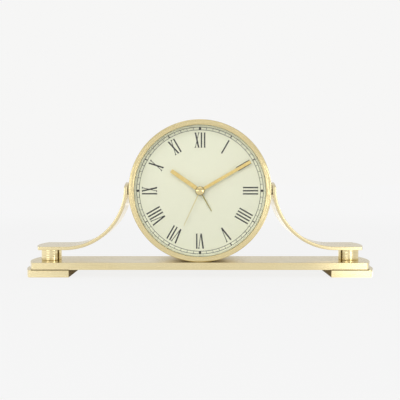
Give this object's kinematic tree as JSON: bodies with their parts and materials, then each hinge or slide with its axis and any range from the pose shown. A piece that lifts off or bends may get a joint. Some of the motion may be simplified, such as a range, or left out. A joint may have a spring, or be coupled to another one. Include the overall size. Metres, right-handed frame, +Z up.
{
  "type": "tambour mantel clock",
  "caption": "Brass mantel clock: a round drum dial held by two sprung straps over a long low base on feet, with hour, minute, second and alarm hands.",
  "frame": {"origin": "on the ground under the middle of the base", "axes": "+X to the right seen from the front, +Y to the back, +Z up; the dial faces -Y"},
  "size_m": [0.315, 0.052, 0.1404],
  "materials": {
    "brass": "brushed pale brass",
    "polished_brass": "polished",
    "felt": "pressed felt",
    "steel": "zinc plated",
    "glass": "clear",
    "dial": "satin cream",
    "black_plastic": "moulded",
    "rubber": "soft",
    "wheel_plastic": "moulded",
    "copper": "enamelled wire",
    "board": "lacquered",
    "crystal_can": "drawn can",
    "cell": "printed sleeve, plain",
    "switch": "moulded",
    "gold_hand": "gilt",
    "pale_hand": "gilt, pale"
  },
  "bodies": {
    "clock": {"arm_screws": "steel", "arm_spacers": "steel", "arm_studs": "steel", "base_plate": "brass", "battery": "cell", "bezel": "brass", "buzzer": "steel", "circuit_board": "board", "coil_bobbin": "black_plastic", "coil_core": "steel", "coil_winding": "copper", "cover_pillars": "steel", "dial_plate": "dial", "dial_ring": "brass", "drum_nut_plate": "steel", "drum_screws": "steel", "drum_shell": "brass", "foot_screws": "steel", "glass_lens": "glass", "left_arm": "brass", "left_foot": "brass", "left_foot_felt": "felt", "left_post": "polished_brass", "mounting_plate": "black_plastic", "movement_back_case": "black_plastic", "movement_front_case": "black_plastic", "movement_gasket": "rubber", "movement_screws": "steel", "negative_contact": "steel", "positive_contact": "steel", "post_screws": "steel", "post_washers": "steel", "quartz_crystal": "crystal_can", "rear_cover": "black_plastic", "rear_cover_screws": "steel", "right_arm": "brass", "right_foot": "brass", "right_foot_felt": "felt", "right_post": "polished_brass", "stator": "steel", "train_plate": "black_plastic"},
    "second_hand": {"second_wheel": "wheel_plastic", "second_hand": "polished_brass"},
    "rotor": {"rotor": "steel"},
    "intermediate_wheel": {"intermediate_wheel": "wheel_plastic"},
    "third_wheel": {"third_wheel": "wheel_plastic"},
    "centre_wheel": {"centre_wheel": "wheel_plastic"},
    "minute_hand": {"cannon_pinion": "wheel_plastic", "minute_hand": "gold_hand"},
    "minute_wheel": {"minute_wheel": "wheel_plastic", "time_set_knob": "black_plastic"},
    "hour_hand": {"hour_wheel": "wheel_plastic", "hour_hand": "gold_hand"},
    "alarm_hand": {"alarm_wheel": "wheel_plastic", "alarm_hand": "pale_hand"},
    "alarm_setting": {"alarm_arbor": "wheel_plastic", "alarm_set_knob": "black_plastic"},
    "alarm_switch": {"alarm_switch": "switch"}
  },
  "joints": [
    {"name": "second_hand_turn", "type": "hinge", "parent": "clock", "child": "second_hand", "pos_m": [0, 0, 0.0769], "axis": [0, 1, 0], "continuous": true},
    {"name": "rotor_turn", "type": "hinge", "parent": "clock", "child": "rotor", "pos_m": [0, 0, 0.08906], "axis": [0, 1, 0], "continuous": true},
    {"name": "intermediate_wheel_turn", "type": "hinge", "parent": "clock", "child": "intermediate_wheel", "pos_m": [0, 0, 0.08306], "axis": [0, 1, 0], "continuous": true},
    {"name": "third_wheel_turn", "type": "hinge", "parent": "clock", "child": "third_wheel", "pos_m": [0.0072, 0, 0.0769], "axis": [0, 1, 0], "continuous": true},
    {"name": "centre_wheel_turn", "type": "hinge", "parent": "clock", "child": "centre_wheel", "pos_m": [0, 0, 0.0769], "axis": [0, 1, 0], "continuous": true},
    {"name": "minute_hand_turn", "type": "hinge", "parent": "clock", "child": "minute_hand", "pos_m": [0, 0, 0.0769], "axis": [0, 1, 0], "continuous": true},
    {"name": "minute_wheel_turn", "type": "hinge", "parent": "clock", "child": "minute_wheel", "pos_m": [-0.0075, 0, 0.0769], "axis": [0, 1, 0], "continuous": true},
    {"name": "hour_hand_turn", "type": "hinge", "parent": "clock", "child": "hour_hand", "pos_m": [0, 0, 0.0769], "axis": [0, 1, 0], "continuous": true},
    {"name": "alarm_hand_turn", "type": "hinge", "parent": "clock", "child": "alarm_hand", "pos_m": [0, 0, 0.0769], "axis": [0, 1, 0], "continuous": true},
    {"name": "alarm_setting_turn", "type": "hinge", "parent": "clock", "child": "alarm_setting", "pos_m": [0.00405, 0, 0.06989], "axis": [0, 1, 0], "continuous": true},
    {"name": "alarm_switch_slide", "type": "slide", "parent": "clock", "child": "alarm_switch", "axis": [1, 0, 0], "range_m": [0, 0.005]}
  ],
  "couplings": [
    {"joint": "rotor_turn", "follows": "second_hand_turn", "ratio": 30},
    {"joint": "intermediate_wheel_turn", "follows": "second_hand_turn", "ratio": -6},
    {"joint": "third_wheel_turn", "follows": "second_hand_turn", "ratio": -0.13333},
    {"joint": "centre_wheel_turn", "follows": "second_hand_turn", "ratio": 0.016667},
    {"joint": "minute_wheel_turn", "follows": "minute_hand_turn", "ratio": -0.33333},
    {"joint": "hour_hand_turn", "follows": "minute_hand_turn", "ratio": 0.083333},
    {"joint": "alarm_setting_turn", "follows": "alarm_hand_turn", "ratio": -2}
  ]
}
